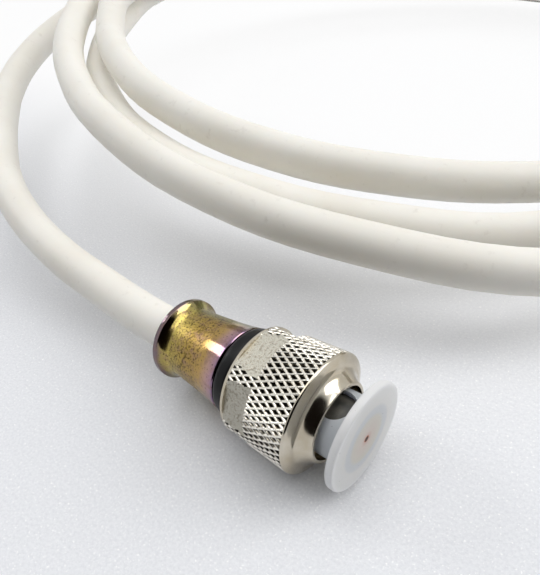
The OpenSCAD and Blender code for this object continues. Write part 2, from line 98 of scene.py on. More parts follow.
class ReleaseCollarSizes(bpy.types.PropertyGroup):
    front_radius: length("Front radius", "Radius of the collar's front edge", 0.007)
    rear_radius: length("Rear radius", "Radius of the plain rear rim", 0.00633)
    rear: length("Length", "From the rear rim to the front face", 0.00865)
    rim: length("Rear rim", "Width of the plain rear rim", 0.0004)
    flat: length("Flat distance", "Distance of the wrench flats from the axis", 0.006)
    flats: length("Flat length", "Length of the wrench flats", 0.00325)
    bore: length("Bore", "Radius of the collar's bore", 0.00529)
    lip: length("Lip", "How far the lip stands in front of the front face", 0.00206)
    lip_radius: length("Lip radius", "Outer radius of the lip", 0.00455)
    knurl_depth: length("Knurl depth", "Depth of the knurl", 0.00038)
    knurl_count: IntProperty(name="Knurl count", description="Diamonds around the collar", default=57)


class ReleaseColours(bpy.types.PropertyGroup):
    nickel: colour("Nickel", "Bright nickel plate", "#cdc6b7")
    nickel_dull: colour("Dull nickel", "Nickel plate over a blasted face", "#b0aca0")
    chromate_gold: colour("Chromate gold", "Yellow chromate over zinc", "#a98e49")
    chromate_pink: colour("Chromate pink", "Where the chromate film is thicker", "#b08f84")
    # Painted sheen: this green is laid in bands along the ferrule's sides
    chromate_sheen_green: colour("Chromate green", "Where the chromate film is thinner", "#8f9467")
    rubber: colour("Rubber", "Nitrile rubber of the sealing ring", "#060607")
    sheath: colour("Sheath", "Soft vinyl of the cable", "#f0ede5")
    button: colour("Button", "Milky polyethylene of the press button", "#e8e7e4")
    core: colour("Core", "Dark moulded core of the plunger", "#33322d")
    copper: colour("Copper", "Copper-coloured inner wire", "#b4673f")
    brass: colour("Brass", "Machined brass", "#c6a35a")
    steel: colour("Steel", "Bright drawn steel", "#b9bab9")
    floor: colour("Floor", "Pale table", "#ebecef")


# ---- Tools for materials ----


def linear(hex_text):
    """An sRGB hex colour as linear red, green, blue and alpha."""
    channels = [int(hex_text[i:i + 2], 16) / 255 for i in (1, 3, 5)]
    return [c / 12.92 if c <= 0.04045 else ((c + 0.055) / 1.055) ** 2.4 for c in channels] + [1.0]


def put(tree, socket, value):
    """Gives a socket a value, or links it to the socket or the node that feeds it."""
    if isinstance(value, bpy.types.Node):
        value = next(output for output in value.outputs if output.enabled)
    if isinstance(value, bpy.types.NodeSocket):
        tree.links.new(value, socket)
    else:
        socket.default_value = value


def add(tree, kind, *inputs, stops=(), **named):
    """Adds a node with its settings and links. Inputs come in the node's own order or by name,
    and lower-case names are settings. Stops are a colour ramp's (place, hex colour)."""
    node = tree.nodes.new("ShaderNode" + kind)
    for name in [name for name in named if name.islower()]:
        setattr(node, name, named.pop(name))
    in_order = [socket for socket in node.inputs if socket.enabled]
    for socket, value in zip(in_order, inputs):
        put(tree, socket, value)
    feed(tree, node, **named)
    if stops:
        elements = node.color_ramp.elements
        while len(elements) < len(stops):
            elements.new(0.5)
        for element, (place, hex_text) in zip(elements, stops):
            element.position = place
            element.color = linear(hex_text)
    return node


def feed(tree, node, **inputs):
    """Sets or links a node's inputs by name."""
    for name, value in inputs.items():
        put(tree, node.inputs[name.replace("_", " ")], value)


def surface(name, **constants):
    """A material with one shader, whose constants are set on its own sockets, and the places on
    its piece, in metres."""
    material = bpy.data.materials.new(name)
    material.use_nodes = True
    tree = material.node_tree
    tree.nodes.clear()
    shader = add(tree, "BsdfPrincipled", **constants)
    add(tree, "OutputMaterial", shader)
    return material, tree, shader, add(tree, "TexCoord").outputs["Object"]


def around(tree, place, origin, axis):
    """(place along the axis, distance from it, angle about it as -1 to 1) for an axis along X or Y."""
    moved = add(tree, "VectorMath", place, origin, operation="SUBTRACT")
    x, y, up = add(tree, "SeparateXYZ", moved).outputs
    along, across = (x, y) if axis == "X" else (y, x)
    distance = add(tree, "VectorMath", add(tree, "CombineXYZ", across, up), operation="LENGTH")
    turn = add(tree, "Math", across, up, operation="ARCTAN2")
    return along, distance, add(tree, "Math", turn, math.pi, operation="DIVIDE")


def rings(tree, place, origin, axis, step):
    """Noise that is even around an axis, with a grain of the given size, as tool marks are."""
    along, distance, _ = around(tree, place, origin, axis)
    section = add(tree, "CombineXYZ", along, distance)
    return add(tree, "TexNoise", Vector=section, Scale=1 / step, Detail=4.0, Roughness=0.7)


def colours():
    return bpy.context.scene.release_colours


# ---- Tools for shapes ----


def start_piece(name):
    """A new mesh piece at the origin with one point there, left in edit mode."""
    bpy.ops.object.select_all(action="DESELECT")
    bpy.ops.mesh.primitive_plane_add(size=MM, location=(0, 0, 0))
    piece = bpy.context.object
    piece.name = piece.data.name = name
    bpy.ops.object.mode_set(mode="EDIT")
    bpy.ops.mesh.select_all(action="SELECT")
    bpy.ops.mesh.merge(type="CENTER")
    return piece


def turned(name, profile, group, steps):
    """A turned piece: a closed profile of (place, radius) in millimetres, spun about an axis."""
    origin, along, side = group
    points = [origin + along * u * MM + side * r * MM for u, r in profile]
    points.append(points[0])
    piece = start_piece(name)
    bpy.ops.transform.translate(value=points[0])
    for a, b in zip(points, points[1:]):
        bpy.ops.mesh.extrude_region_move(TRANSFORM_OT_translate={"value": b - a})
    bpy.ops.mesh.select_all(action="SELECT")
    bpy.ops.mesh.spin(steps=steps, angle=2 * math.pi, center=origin, axis=along)
    finish_mesh()
    bpy.ops.object.shade_smooth_by_angle(angle=math.radians(30))
    return piece


def finish_mesh():
    """Merges the doubles of the mesh in edit mode, turns its faces outwards and leaves it."""
    bpy.ops.mesh.select_all(action="SELECT")
    bpy.ops.mesh.remove_doubles(threshold=1e-6)
    bpy.ops.mesh.normals_make_consistent(inside=False)
    bpy.ops.object.mode_set(mode="OBJECT")


def rounded(points, steps):
    """A closed profile with some corners rounded. A point is (u, r), or (u, r, radius)."""
    out = []
    for i, point in enumerate(points):
        size = point[2] if len(point) > 2 else 0
        here = Vector(point[:2])
        before = Vector(points[i - 1][:2]) - here
        after = Vector(points[(i + 1) % len(points)][:2]) - here
        half = before.angle(after) / 2
        if size <= 0 or not math.radians(5) <= half <= math.radians(85):
            out.append(tuple(here))
            continue
        reach = min(size / math.tan(half), before.length / 2, after.length / 2)
        size = reach * math.tan(half)
        middle = here + (before.normalized() + after.normalized()).normalized() * size / math.sin(half)
        start = here + before.normalized() * reach - middle
        turn = start.angle_signed(here + after.normalized() * reach - middle)
        for k in range(steps + 1):
            a = -turn * k / steps
            out.append((middle[0] + start[0] * math.cos(a) - start[1] * math.sin(a),
                        middle[1] + start[0] * math.sin(a) + start[1] * math.cos(a)))
    return out


def dress(piece, *materials):
    """Gives a piece its materials, in the order of its slots."""
    piece.data.materials.clear()
    for material in materials:
        piece.data.materials.append(material)
    return piece


# ---- Finishes ----


def nickel_turned(name, origin, axis):
    """Bright nickel plate on turned brass: a warm mirror, broken up by fine tool rings."""
    material, tree, shader, place = surface(name, Metallic=1.0)
    marks = rings(tree, place, origin, axis, 0.05 * MM)
    cloud = add(tree, "TexNoise", Vector=place, Scale=1 / (2.5 * MM), Detail=3.0)
    tint = add(tree, "Mix", add(tree, "MapRange", cloud, 0.35, 0.7), linear(colours().nickel),
               linear("#bbb09b"), data_type="RGBA")
    gloss = add(tree, "Math", add(tree, "MapRange", marks, 0, 1, 0.05, 0.15),
                add(tree, "MapRange", cloud, 0, 1, 0, 0.08), operation="ADD")
    feed(tree, shader, Base_Color=tint, Roughness=gloss,
         Normal=add(tree, "Bump", Height=marks, Distance=0.0012 * MM))
    return material


def nickel_knurled():
    """Nickel plate on a rolled diamond knurl: painted light on the ridges, and painted shade in the hollows,
    near black at their bottoms.
    """
    material, tree, shader, place = surface("nickel_plated_knurl", Metallic=1.0)
    crest = add(tree, "Attribute", attribute_name="crest").outputs["Fac"]
    wear = add(tree, "TexNoise", Vector=place, Scale=1 / (0.3 * MM), Detail=3.0)
    shade_edge_noise = add(tree, "TexNoise", Vector=place, Scale=1 / (0.42 * MM), Detail=3.0)
    stain = add(tree, "TexNoise", Vector=place, Scale=1 / (3.2 * MM), Detail=4.0, Roughness=0.6)
    # Painted shade follows the knurl's depth, and noise breaks up its edge
    height = add(tree, "Math", crest, add(tree, "MapRange", shade_edge_noise, 0.3, 0.7, -0.2, 0.2), operation="ADD")
    # Painted shade and light: near black at the bottom of each hollow, lighter than plain nickel on the
    # ridges
    tint = add(tree, "ValToRGB", height,
               stops=[(0.0, "#0a0908"), (0.5, "#1b1815"), (0.72, "#9a9486"), (0.9, "#ece7dc")])
    tint = add(tree, "Mix", add(tree, "MapRange", wear, 0.52, 0.8, 0, 0.4), tint, linear("#8f8778"),
               data_type="RGBA")
    tint = add(tree, "Mix", add(tree, "MapRange", stain, 0.58, 0.72, 0, 0.45), tint, linear("#8a6f50"),
               data_type="RGBA")
    feed(tree, shader, Base_Color=tint, Roughness=add(tree, "MapRange", crest, 0, 1, 0.34, 0.16),
         Normal=add(tree, "Bump", Height=wear, Distance=0.02 * MM))
    return material


def nickel_blasted():
    """Nickel plate on a milled and blasted face: satin, with fine pits that sparkle."""
    material, tree, shader, place = surface("nickel_plated_flat", Metallic=1.0)
    # The grit's marks are finer than these, and are drawn as coarse as they need to show
    fine = add(tree, "TexNoise", Vector=place, Scale=1 / (0.12 * MM), Detail=3.0, Roughness=0.7)
    pits = add(tree, "TexNoise", Vector=place, Scale=1 / (0.28 * MM), Detail=3.0)
    tint = add(tree, "Mix", add(tree, "MapRange", pits, 0.52, 0.66, 0, 0.65),
               linear(colours().nickel_dull), linear("#857e70"), data_type="RGBA")
    height = add(tree, "Math", fine, add(tree, "MapRange", pits, 0.5, 0.75, 0, -1.2), operation="ADD")
    feed(tree, shader, Base_Color=tint, Roughness=add(tree, "MapRange", fine, 0.35, 0.65, 0.2, 0.5),
         Normal=add(tree, "Bump", Height=height, Distance=0.03 * MM))
    return material


def zinc_chromate(name, origin, axis, front, rear):
    """Yellow chromate on zinc plate: a gold film that drifts to purple at the flange and to pink at the
    front, with a painted green sheen in two bands along its sides. Its middle is dull and cracked, and its
    ends are bright."""
    material, tree, shader, place = surface(name, Metallic=1.0)
    along, _, angle = around(tree, place, origin, axis)
    black, white = "#000000", "#ffffff"
    cloud = add(tree, "TexNoise", Vector=place, Scale=1 / (3.5 * MM), Detail=3.0)
    drift = add(tree, "Math", add(tree, "MapRange", along, rear, front),
                add(tree, "MapRange", cloud, 0, 1, -0.06, 0.06), operation="ADD")
    tint = add(tree, "ValToRGB", drift, stops=[
        (0.0, "#6f6269"), (0.06, "#7a6a6c"), (0.1, "#a2925a"), (0.17, "#beab5f"),
        (0.45, colours().chromate_gold), (0.78, "#ae8f58"), (0.88, colours().chromate_pink),
        (0.96, "#a3828f"), (1.0, "#7f6a86")])
    # Painted sheen: a green tint in two bands about the axis, along the sides where the film's edge sheen
    # shows
    painted_sheen_bands = add(tree, "ValToRGB", add(tree, "MapRange", angle, -1, 1), stops=[
        (0.0, black), (0.11, black), (0.15, white), (0.2, black), (0.54, black), (0.6, white),
        (0.7, black)])
    tint = add(tree, "Mix", add(tree, "MapRange", painted_sheen_bands, 0, 1, 0, 0.7), tint,
               linear(colours().chromate_sheen_green), data_type="RGBA")
    dull = add(tree, "ValToRGB", drift, stops=[(0.1, black), (0.22, white), (0.66, white), (0.78, black)])
    patches = add(tree, "TexNoise", Vector=place, Scale=1 / (0.9 * MM), Detail=4.0, Roughness=0.7)
    tint = add(tree, "Mix", add(tree, "MapRange", patches, 0.48, 0.66, 0, 0.65), tint, linear("#8d6f63"),
               data_type="RGBA")

    # Pits, the closest of them in the dull middle
    pits = add(tree, "TexNoise", Vector=place, Scale=1 / (0.22 * MM), Detail=2.0)
    deep = add(tree, "MapRange", dull, 0, 1, 0.64, 0.47)
    pitted = add(tree, "MapRange", pits, deep, 0.72)

    # Long cracks there, the edges of bent cells, broken into stretches
    bend = add(tree, "TexNoise", Vector=place, Scale=1 / (0.8 * MM), Detail=2.0).outputs["Color"]
    bend = add(tree, "VectorMath", bend, 0.5 * MM, operation="SCALE")
    bent = add(tree, "VectorMath", place, bend, operation="ADD")
    cells = add(tree, "TexVoronoi", Vector=bent, Scale=1 / (3.4 * MM), feature="DISTANCE_TO_EDGE")
    stretches = add(tree, "TexNoise", Vector=place, Scale=1 / (1.1 * MM), Detail=2.0)
    cracks = add(tree, "Math", add(tree, "MapRange", cells, 0.006, 0.03, 1, 0),
                 add(tree, "MapRange", stretches, 0.4, 0.6, 0.05, 0.75), operation="MULTIPLY")
    cracks = add(tree, "Math", cracks, dull, operation="MULTIPLY")
    marks = add(tree, "Math", pitted, cracks, operation="MAXIMUM")
    tint = add(tree, "Mix", marks, tint, linear("#33281a"), data_type="RGBA")

    fine = add(tree, "TexNoise", Vector=place, Scale=1 / (0.14 * MM), Detail=3.0, Roughness=0.7)
    tools = rings(tree, place, origin, axis, 0.06 * MM)
    height = add(tree, "Math", add(tree, "Math", fine, dull, operation="MULTIPLY"),
                 add(tree, "MapRange", tools, 0, 1, 0, 0.12), operation="ADD")
    gloss = add(tree, "Math", add(tree, "MapRange", tools, 0, 1, 0.05, 0.13),
                add(tree, "MapRange", dull, 0, 1, 0, 0.28), operation="ADD")
    feed(tree, shader, Base_Color=tint, Roughness=gloss,
         Normal=add(tree, "Bump", Height=height, Distance=0.018 * MM))
    return material


def nitrile_rubber():
    """Moulded nitrile rubber: near black, with a dull sheen and a little dust."""
    material, tree, shader, place = surface("nitrile_rubber", Specular_IOR_Level=0.22)
    dust = add(tree, "TexNoise", Vector=place, Scale=1 / (0.5 * MM), Detail=3.0)
    fine = add(tree, "TexNoise", Vector=place, Scale=1 / (0.08 * MM), Detail=3.0)
    tint = add(tree, "Mix", add(tree, "MapRange", dust, 0.66, 0.8, 0, 0.3), linear(colours().rubber),
               linear("#3b3a39"), data_type="RGBA")
    feed(tree, shader, Base_Color=tint, Roughness=add(tree, "MapRange", fine, 0, 1, 0.22, 0.42),
         Normal=add(tree, "Bump", Height=fine, Distance=0.006 * MM))
    return material


def soft_vinyl():
    """Extruded soft vinyl: warm off-white, a soft sheen, faint handling marks and a fine ripple."""
    material, tree, shader, place = surface(
        "soft_vinyl_sheath", Specular_IOR_Level=0.42, Subsurface_Weight=0.12,
        Subsurface_Radius=(0.002, 0.0015, 0.001), Subsurface_Scale=0.6)
    cloud = add(tree, "TexNoise", Vector=place, Scale=1 / (14 * MM), Detail=3.0)
    smudge = add(tree, "TexNoise", Vector=place, Scale=1 / (1.6 * MM), Detail=4.0, Roughness=0.6)
    fine = add(tree, "TexNoise", Vector=place, Scale=1 / (0.25 * MM), Detail=3.0)
    tint = add(tree, "Mix", add(tree, "MapRange", cloud, 0.4, 0.7, 0, 0.6), linear(colours().sheath),
               linear("#e7e2d7"), data_type="RGBA")
    tint = add(tree, "Mix", add(tree, "MapRange", smudge, 0.62, 0.78, 0, 0.3), tint, linear("#b9b0a4"),
               data_type="RGBA")
    feed(tree, shader, Base_Color=tint, Roughness=add(tree, "MapRange", smudge, 0, 1, 0.42, 0.6),
         Normal=add(tree, "Bump", Height=fine, Distance=0.006 * MM))
    return material


def milky_polyethylene():
    """Moulded polyethylene, milky. On the disc's face the view through it is painted: the stem's inside as a
    beige tint, the stem wall as a cooler shaded ring, and a painted glow where light gathers in its rim."""
    material, tree, shader, place = surface(
        "milky_polyethylene", IOR=1.51, Subsurface_Weight=0.35,
        Subsurface_Radius=(0.0016, 0.0016, 0.0018), Subsurface_Scale=0.7, Transmission_Weight=0.28)
    along, distance, _ = around(tree, place, HEAD_ORIGIN, "X")
    # Painted see-through shade and glow by the distance from the axis: pinkish round the wire, beige over
    # the stem's inside, a cooler shaded ring over the stem wall, and a painted glow at the rim
    face = add(tree, "ValToRGB", add(tree, "MapRange", distance, 0, DISC_R * MM), stops=[
        (0.06, "#d3b3a6"), (0.16, "#dccfc5"), (0.42, "#dad6cb"), (0.5, "#d5d8da"), (0.6, "#d9dbdd"),
        (0.66, colours().button), (0.9, "#ebebe9"), (0.99, "#fafafa")])
    stem = add(tree, "MapRange", along, (DISC_BACK - 0.2) * MM, (DISC_BACK + 0.2) * MM, 1, 0)
    tint = add(tree, "Mix", stem, face, linear("#d3d7dc"), data_type="RGBA")
    fine = add(tree, "TexNoise", Vector=place, Scale=1 / (0.35 * MM), Detail=4.0)
    marks = rings(tree, place, HEAD_ORIGIN, "X", 0.08 * MM)
    feed(tree, shader, Base_Color=tint, Roughness=add(tree, "MapRange", fine, 0, 1, 0.22, 0.42),
         Normal=add(tree, "Bump", Height=marks, Distance=0.002 * MM))
    return material


def dark_moulding():
    """Moulded phenolic: dark brown-grey with a dull, slightly dusty face."""
    material, tree, shader, place = surface("dark_phenolic")
    cloud = add(tree, "TexNoise", Vector=place, Scale=1 / (1.2 * MM), Detail=4.0)
    tint = add(tree, "Mix", add(tree, "MapRange", cloud, 0.35, 0.7), linear(colours().core),
               linear("#5a564c"), data_type="RGBA")
    feed(tree, shader, Base_Color=tint, Roughness=add(tree, "MapRange", cloud, 0, 1, 0.35, 0.6),
         Normal=add(tree, "Bump", Height=cloud, Distance=0.02 * MM))
    return material


def drawn_metal(name, tint_hex, dark_hex, size, low, high):
    """Drawn or machined metal: an even colour with a fine grain, duller where it was handled."""
    material, tree, shader, place = surface(name, Metallic=1.0)
    cloud = add(tree, "TexNoise", Vector=place, Scale=1 / (size * 8), Detail=3.0)
    fine = add(tree, "TexNoise", Vector=place, Scale=1 / size, Detail=3.0)
    tint = add(tree, "Mix", add(tree, "MapRange", cloud, 0.4, 0.75), linear(tint_hex), linear(dark_hex),
               data_type="RGBA")
    feed(tree, shader, Base_Color=tint, Roughness=add(tree, "MapRange", cloud, 0, 1, low, high),
         Normal=add(tree, "Bump", Height=fine, Distance=0.003 * MM))
    return material


def cut_wire():
    """Cut copper wire: its cut end is dull red-brown, and its edge is bright."""
    material, tree, shader, place = surface("cut_copper_wire", Metallic=0.9)
    _, distance, _ = around(tree, place, HEAD_ORIGIN, "X")
    wire_r = 0.4 * MM
    tint = add(tree, "ValToRGB", add(tree, "MapRange", distance, 0, wire_r),
               stops=[(0.0, "#2a1411"), (0.6, "#3f1e17"), (0.82, "#8a5038"), (0.97, "#e0a582")])
    fine = add(tree, "TexNoise", Vector=place, Scale=1 / (0.15 * MM), Detail=3.0)
    feed(tree, shader, Base_Color=tint, Roughness=add(tree, "MapRange", fine, 0, 1, 0.3, 0.55),
         Normal=add(tree, "Bump", Height=fine, Distance=0.01 * MM))
    return material


# ---- Cable ----


# The cable's centre line. The lead's points have true heights. The others' heights are above a
# cable that lies on the floor.
LEAD_POINTS = (
    (-19, 0, 7), (-31, 0.8, 7.1), (-42, 1.6, 8), (-53, 3.6, 9.8), (-64, 7.5, 11.5),
    (-75, 13.8, 12.7), (-86, 21.5, 13.7), (-96, 30, 14.6), (-104, 40, 15.7), (-109.5, 52, 17),
    (-112.5, 66, 18.2),
)
LEAD_END = (-112.8, 80, 16)
COIL_POINTS = (
    (-109.3, 95.5, 14.6), (-101.4, 111, 11.6), (-89.1, 124.7, 8.2), (-73.4, 135.5, 5.2),
    (-55.5, 142.6, 3.2), (-36.9, 145.8, 2.2), (-19.1, 145.6, 1.4), (-3.2, 141.7, 0.6),
    (10.2, 134.3, 0.1), (20.7, 123.9, 0), (28.1, 111.1, 0), (32.4, 96.5, 0), (33.7, 80.6, 0),
    (33.5, 63.6, 0.2), (29.8, 46, 2.4), (19.1, 29.8, 6.2), (-0.5, 20.8, 9.2), (-22, 17.1, 12.2),
    (-43.9, 19.3, 15.3), (-64.5, 27.3, 17.8), (-82.3, 40.7, 20), (-95.8, 58.4, 21.5),
    (-103.2, 77.9, 21.8), (-103.3, 97.5, 20), (-97.1, 114.7, 17.2), (-86.4, 128.2, 14.4),
    (-73, 137.7, 12), (-58.2, 143.4, 10.2), (-43, 145.8, 9.2), (-28.2, 145.6, 8.4),
    (-14, 143.1, 7.5), (-0.9, 138, 6.8), (10.6, 130.6, 6.4), (20.3, 121, 6.2), (27.7, 109.5, 6.5),
    (32.3, 96.3, 6.6), (33.8, 81.9, 6.6), (31.5, 66.9, 6.2), (25.2, 52, 5.4), (14.2, 38.4, 4.8),
    (-2.6, 28.6, 6.8), (-22, 23.6, 9), (-42.5, 24.4, 10.8), (-62.3, 31.2, 12.8),
    (-79.4, 43.6, 14.3), (-92.5, 60.3, 15.4), (-100.6, 79.9, 16.2), (-98.7, 99.2, 14.6),
    (-90.3, 115, 12.6), (-78.3, 126.5, 10.6), (-64.6, 134.2, 8.8), (-50.5, 138.5, 7.2),
    (-36.8, 140.2, 5.6), (-23.8, 139.9, 4.1), (-11.9, 137.8, 2.4), (-1.2, 133.6, 1.2),
    (8, 127.6, 0.4), (15.5, 119.8, 0), (21.2, 110.3, 0), (25, 99.4, 0), (26.4, 87, 0.6),
    (24.7, 73.6, 1.7), (19.1, 59.9, 3.6), (9.2, 46.9, 6.2), (-4.7, 36.4, 9.2), (-22, 30.1, 12.2),
    (-41.2, 29.5, 15.3), (-60.1, 35.1, 17.8), (-76.6, 46.4, 20), (-89.2, 62.2, 21.5),
)
COIL_END = (-91.2, 83.2, 19.6)
TAIL_POINTS = (
    (-83.6, 103.3, 16.2), (-69.1, 119.3, 12.4), (-50.7, 129.6, 9.2), (-31.3, 133.7, 6.8),
    (-13.3, 131.8, 4.9), (1, 125.4, 3.6), (10.3, 116.5, 2.6), (14.7, 107.5, 2.1),
)
FLOOR_GAP = 0.05 * MM


def cable_route():
    """The cable's centre line from the head's ferrule to the camera end's, as points."""
    radius = bpy.context.scene.release_cable.radius
    lift = Vector((0, 0, radius + FLOOR_GAP))
    route = [CABLE_EXIT] + [Vector(p) * MM for p in LEAD_POINTS]
    route += [Vector(p) * MM + lift for p in (LEAD_END,) + COIL_POINTS + (COIL_END,) + TAIL_POINTS]
    return route + [TIP_ORIGIN + Vector((0, radius, 0)), TIP_ORIGIN]


def route_length(points):
    return sum((b - a).length for a, b in zip(points, points[1:]))


class RELEASE_OT_cable(bpy.types.Operator):
    """Lays the cable along its route, as one curve"""

    bl_idname = "release.cable"
    bl_label = "Cable"

    def execute(self, context):
        route = cable_route()
        line = bpy.data.curves.new("cable", "CURVE")
        line.dimensions = "3D"
        spline = line.splines.new("BEZIER")
        spline.bezier_points.add(len(route) - 1)
        for point, place in zip(spline.bezier_points, route):
            point.co = place
            point.handle_left_type = point.handle_right_type = "AUTO"
        line.resolution_u = 5
        line.bevel_depth = context.scene.release_cable.radius
        line.bevel_resolution = 6
        line.use_fill_caps = True
        cable = bpy.data.objects.new("cable", line)
        context.scene.collection.objects.link(cable)
        cable.data.materials.append(soft_vinyl())
        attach(cable, "head")
        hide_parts("cable_lead", "cable_coil", "cable_tail")
        return {"FINISHED"}


# ---- Collar ----

KNURL_ROWS = 66  # rows of the mesh along the knurl
COLUMNS = 12  # columns of the mesh in each diamond, and rows in its length
KNURL_FRONT = -0.15  # where the knurl ends, just behind the front edge
KNURL_STEP = 0.2  # how far the knurl's rear stands above the plain rim
KNURL_STEEPNESS = 1.35  # above 1, the ridges have flat tops
OUTSIDE_R = 5.6  # parts the collar's outside from its bore
FLAT_TURN = 25  # degrees from -Y, towards +Z, to the middle of a flat
FLAT_CLEAR = 0.1  # a blank this far above a flat is milled clean, with no hollow left in it
NOSE_STEPS = 22
LIP_WALL = 0.3
EDGE = 0.03  # broken off the lip's edges and the front edge
KNURLED, FLAT, TURNED = range(3)  # the collar's material slots


def knurl_height(u, v):
    """Height of a diamond knurl: 1 on its ridges, which run both ways around the collar, and
    0 at the bottom of the four-sided hollows between them."""
    rise = max(abs(2 * ((u + v) % 1) - 1), abs(2 * ((u - v) % 1) - 1))
    return min(rise * KNURL_STEEPNESS, 1.0)


def collar_profile(size):
    """The collar's profile, where its flats start and end, and the length of a row of its knurl."""
    rear = -size.rear / MM
    bore = size.bore / MM
    front = size.front_radius / MM
    back = size.rear_radius / MM
    lip, lip_r = size.lip / MM, size.lip_radius / MM
    flats_rear = rear + size.rim / MM
    row = (KNURL_FRONT - flats_rear) / KNURL_ROWS
    flat_rows = round(size.flats / MM / row)
    slope = (front - back - KNURL_STEP) / (KNURL_FRONT - flats_rear)
    profile = [(rear, bore), (rear, back - 0.06), (rear + 0.06, back), (flats_rear - 0.04, back)]
    for j in range(KNURL_ROWS + 1):
        u = flats_rear + j * row
        r = back + KNURL_STEP + slope * (u - flats_rear)
        profile.append((u, r))
        if j == flat_rows:  # a second ring here makes the flats' front wall steep
            profile.append((u + 0.004, r))
    # The front edge and the coned front face
    profile += [(-0.1, front - 0.01), (-EDGE, front), (0.02, front - 0.01), (0.15, front - 0.1)]
    profile += [(0.15 + 0.1 * k, front - 0.1 - 0.235 * k) for k in (1, 2, 3)]
    # A quadratic curve whose middle point draws the nose in behind a shallow taper
    hollow = (0.57, front - 1.05)
    bend = (hollow[0] + 0.06, hollow[1] - 0.72)
    waist = (lip - 0.08, lip_r + 0.07)
    for k in range(NOSE_STEPS + 1):
        t = k / NOSE_STEPS
        profile.append(tuple(a * (1 - t) ** 2 + 2 * b * t * (1 - t) + c * t ** 2
                             for a, b, c in zip(hollow, bend, waist)))
    inside = lip_r - LIP_WALL
    profile += [(lip - EDGE, lip_r), (lip, lip_r - EDGE), (lip, inside + EDGE), (lip - EDGE, inside),
                (-0.3, inside), (-0.3, bore)]
    return profile, flats_rear, flats_rear + flat_rows * row, row


class RELEASE_OT_collar(bpy.types.Operator):
    """Turns the collar, rolls its knurl and mills its six wrench flats"""

    bl_idname = "release.collar"
    bl_label = "Collar"

    def execute(self, context):
        size = context.scene.release_collar
        profile, flats_rear, flats_front, row = collar_profile(size)
        piece = turned("collar", profile, HEAD, steps=size.knurl_count * COLUMNS)
        dress(piece, nickel_knurled(), nickel_blasted(),
              nickel_turned("nickel_plated_turning", HEAD_ORIGIN, "X"))
        self.knurl(piece, size, flats_rear, flats_front, row)
        bpy.ops.object.shade_smooth_by_angle(angle=math.radians(24))
        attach(piece, "collar")
        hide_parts("knurled_collar", "collar_knurl")
        return {"FINISHED"}

    def knurl(self, piece, size, flats_rear, flats_front, row):
        """Presses the knurl and the flats into the turned blank, and splits its quads along
        the ridges. The knurl is too fine and regular to be worked by hand."""
        shape = bmesh.new()
        shape.from_mesh(piece.data)
        crests = [1.0] * len(shape.verts)
        on_flat = set()
        for vertex in shape.verts:
            place = (vertex.co - HEAD_ORIGIN) / MM
            u = place.x
            r = math.hypot(place.y, place.z)
            if r < OUTSIDE_R or not flats_rear - 0.001 <= u <= KNURL_FRONT + 0.01:
                continue
            angle = math.atan2(place.z, -place.y)
            height = knurl_height(size.knurl_count * angle / (2 * math.pi),
                                  (u - flats_rear) / (COLUMNS * row))
            new_r = r - size.knurl_depth / MM * (1 - height)
            if u <= flats_front + 0.001:
                off = math.radians((math.degrees(angle) - FLAT_TURN + 30) % 60 - 30)
                flat_r = size.flat / MM / math.cos(off)
                if new_r > flat_r - 0.002 or r > flat_r + FLAT_CLEAR:
                    new_r = flat_r
                    height = 1.0
                    on_flat.add(vertex.index)
            crests[vertex.index] = height
            vertex.co.y *= new_r / r
            vertex.co.z = HEAD_ORIGIN.z + place.z * MM * new_r / r
        for face in list(shape.faces):
            centre = (face.calc_center_median() - HEAD_ORIGIN) / MM
            r = math.hypot(centre.y, centre.z)
            if r < OUTSIDE_R or not flats_rear < centre.x < KNURL_FRONT:
                face.material_index = TURNED
            elif sum(v.index in on_flat for v in face.verts) >= 3:
                face.material_index = FLAT
            else:
                face.material_index = KNURLED
                a, b, c, d = face.verts
                along_ac = crests[a.index] + crests[c.index] > crests[b.index] + crests[d.index]
                bmesh.utils.face_split(face, *((a, c) if along_ac else (b, d)))
        shape.to_mesh(piece.data)
        shape.free()
        crest = piece.data.attributes.new("crest", "FLOAT", "POINT")
        crest.data.foreach_set("value", crests)


# ---- Seal, ferrule and button ----


class RELEASE_OT_seal(bpy.types.Operator):
    """Turns the sealing ring between the collar and the ferrule"""

    bl_idname = "release.seal"
    bl_label = "Sealing ring"

    def execute(self, context):
        rear, front, hole, outside = -10.98, -8.83, 3.88, 5.4
        profile = rounded([(rear, hole, 0.1), (rear, outside, 0.72), (front, outside, 0.72),
                           (front, hole, 0.1)], 8)
        piece = turned("sealing_ring_skin", profile, HEAD, steps=128)
        dress(piece, nitrile_rubber())
        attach(piece, "head")
        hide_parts("sealing_ring")
        return {"FINISHED"}


def ferrule_profile():
    """The ferrule's profile: a belly that narrows to a neck, a hollow and a rear flange."""
    flange, flange_r = FERRULE_REAR + 0.62, 5.1
    neck_r, bore, bore_rear = 4.25, 3.88, -15.9
    # The hollow in front of the flange is an arc of a circle, this deep and this wide
    deep, wide = 0.85, 1.5
    radius = (deep ** 2 + wide ** 2) / (2 * deep)
    outer = [(FERRULE_REAR, FERRULE_HOLE), (FERRULE_REAR, flange_r, 0.1), (flange, flange_r, 0.05)]
    for k in range(1, 13):
        turn = math.asin(wide / radius) * (1 - k / 12)
        outer.append((flange + wide - radius * math.sin(turn), neck_r + radius * (1 - math.cos(turn))))
    outer += [(-18.0, 4.36), (-16.5, 4.49), (-15.2, 4.62), (-14.0, 4.75), (-13.0, 4.9), (-12.0, 5.05),
              (-11.28, 5.16, 0.05), (-11.12, 5.2, 0.04), (FERRULE_FRONT, 5.1, 0.03),
              (FERRULE_FRONT, bore), (bore_rear, bore), (bore_rear, FERRULE_HOLE)]
    return rounded(outer, 4)


